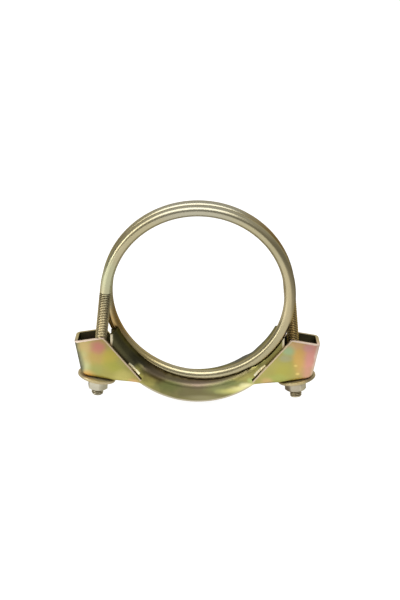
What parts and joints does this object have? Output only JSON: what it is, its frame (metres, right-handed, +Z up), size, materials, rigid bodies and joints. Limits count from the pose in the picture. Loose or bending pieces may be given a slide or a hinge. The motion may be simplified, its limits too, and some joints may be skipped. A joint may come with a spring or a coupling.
{
  "type": "wire hose clamp",
  "caption": "Bolt-type wire hose clamp: a bent steel rod loop with threaded ends drawn through a stamped saddle by nuts and washers.",
  "frame": {"origin": "centre of the rod loop, on the axis of the hose it grips", "axes": "+Y along the hose axis, away from the front turn; +Z up, away from the saddle; +X to the right leg"},
  "size_m": [0.1702, 0.0291, 0.1408],
  "materials": {
    "rod_zinc": "zinc plated, pale olive",
    "sheet_zinc": "yellow zinc plated, iridescent",
    "washer_zinc": "yellow zinc plated",
    "nut_zinc": "pale zinc plated"
  },
  "bodies": {
    "rod": {"wire_loop": "rod_zinc"},
    "saddle_body": {"saddle": "sheet_zinc"},
    "left_washer": {"washer_left": "washer_zinc"},
    "right_washer": {"washer_right": "washer_zinc"},
    "left_nut": {"nut_left": "nut_zinc"},
    "right_nut": {"nut_right": "nut_zinc"}
  },
  "joints": [
    {"name": "saddle_travel", "type": "slide", "parent": "rod", "child": "saddle_body", "axis": [0, 0, -1], "range_m": [0, 0.00373]},
    {"name": "left_washer_slide", "type": "slide", "parent": "rod", "child": "left_washer", "axis": [-0.0808, 0.0791, -0.9936], "range_m": [0, 0.00375]},
    {"name": "left_nut_turn", "type": "hinge", "parent": "left_washer", "child": "left_nut", "pos_m": [-0.06962, -0.00061, -0.06717], "axis": [-0.0808, 0.0791, -0.9936], "range_deg": [0, 1080.5]},
    {"name": "right_washer_slide", "type": "slide", "parent": "rod", "child": "right_washer", "axis": [0.0808, -0.0791, -0.9936], "range_m": [0, 0.00375]},
    {"name": "right_nut_turn", "type": "hinge", "parent": "right_washer", "child": "right_nut", "pos_m": [0.06963, 0.0006, -0.06728], "axis": [0.0808, -0.0791, -0.9936], "range_deg": [0, 1080.5]}
  ],
  "couplings": [
    {"joint": "left_washer_slide", "follows": "saddle_travel", "ratio": 1.0065},
    {"joint": "right_washer_slide", "follows": "saddle_travel", "ratio": 1.0065},
    {"joint": "left_nut_turn", "follows": "saddle_travel", "rad_per_m": 5059},
    {"joint": "right_nut_turn", "follows": "saddle_travel", "rad_per_m": 5059}
  ]
}
